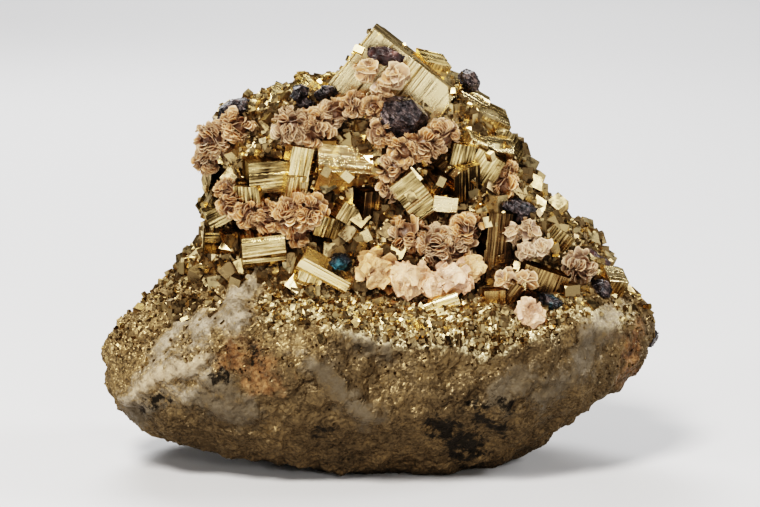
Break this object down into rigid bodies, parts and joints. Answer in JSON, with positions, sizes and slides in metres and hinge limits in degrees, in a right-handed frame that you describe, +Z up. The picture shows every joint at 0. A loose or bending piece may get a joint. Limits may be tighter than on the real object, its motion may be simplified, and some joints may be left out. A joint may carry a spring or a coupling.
{
  "type": "pyrite with siderite and galena mineral specimen",
  "caption": "Hand-size mineral specimen: striated brassy pyrite crystals, pink siderite rosettes and dark galena on a broad mass of granular pyrite, resting on a flat foot.",
  "frame": {"origin": "on the flat foot that the specimen rests on, below the middle of its length", "axes": "+Z up, +X to the right along the longest side, -Y towards the viewer of the crystal side"},
  "size_m": [0.1397, 0.0767, 0.1089],
  "materials": {
    "matrix": "granular brown and brassy pyrite with grey quartz patches, rough and sparkling",
    "pyrite": "bright, finely striated crystal faces",
    "galena": "dark metallic, tarnished teal and purple",
    "sphalerite": "dark red-brown, resinous",
    "siderite": "satin, pinkish tan curved plates"
  },
  "bodies": {
    "root": {"granular_matrix": "matrix", "pyrite_summit_cube": "pyrite", "pyrite_centre_cube": "pyrite", "pyrite_amber_cube": "pyrite", "pyrite_right_shoulder": "pyrite", "pyrite_right_crest": "pyrite", "pyrite_ridge_cubes": "pyrite", "pyrite_right_flank": "pyrite", "pyrite_slope_cubes": "pyrite", "pyrite_dark_cubes": "pyrite", "pyrite_fluted_prism": "pyrite", "pyrite_ribbed_blocks": "pyrite", "pyrite_left_prism": "pyrite", "pyrite_left_block": "pyrite", "pyrite_stack": "pyrite", "pyrite_corner_cubes": "pyrite", "pyrite_tall_blade": "pyrite", "pyrite_bright_prism": "pyrite", "pyrite_ledge_prism": "pyrite", "pyrite_gold_cubes": "pyrite", "pyrite_outer_cubes": "pyrite", "pyrite_back_summit": "pyrite", "pyrite_back_left": "pyrite", "pyrite_back_right": "pyrite", "pyrite_back_low": "pyrite", "pyrite_back_edge": "pyrite", "pyrite_back_corner": "pyrite", "pyrite_left_flank": "pyrite", "galena_left_crest": "galena", "galena_ridge_pair": "galena", "galena_ridge_flat": "galena", "sphalerite_summit_arc": "sphalerite", "galena_great_crystal": "galena", "galena_teal_crystal": "galena", "galena_right_crystal": "galena", "galena_ledge_cluster": "galena", "galena_black_crystal": "galena", "galena_right_tip": "galena", "galena_right_crest": "galena", "sphalerite_right_ridge": "sphalerite", "galena_back_crystal": "galena", "siderite_left_crest": "siderite", "siderite_great_rosette": "siderite", "siderite_summit_pair": "siderite", "siderite_ridge": "siderite", "siderite_centre": "siderite", "siderite_left_low": "siderite", "siderite_heart": "siderite", "siderite_low_spray": "siderite", "siderite_right": "siderite", "siderite_on_galena": "siderite", "siderite_right_ledge": "siderite", "siderite_outer": "siderite", "siderite_discs": "siderite", "siderite_pale_mass": "siderite", "siderite_ledge_patch": "siderite", "siderite_back_left": "siderite", "siderite_back_right": "siderite"}
  },
  "joints": []
}
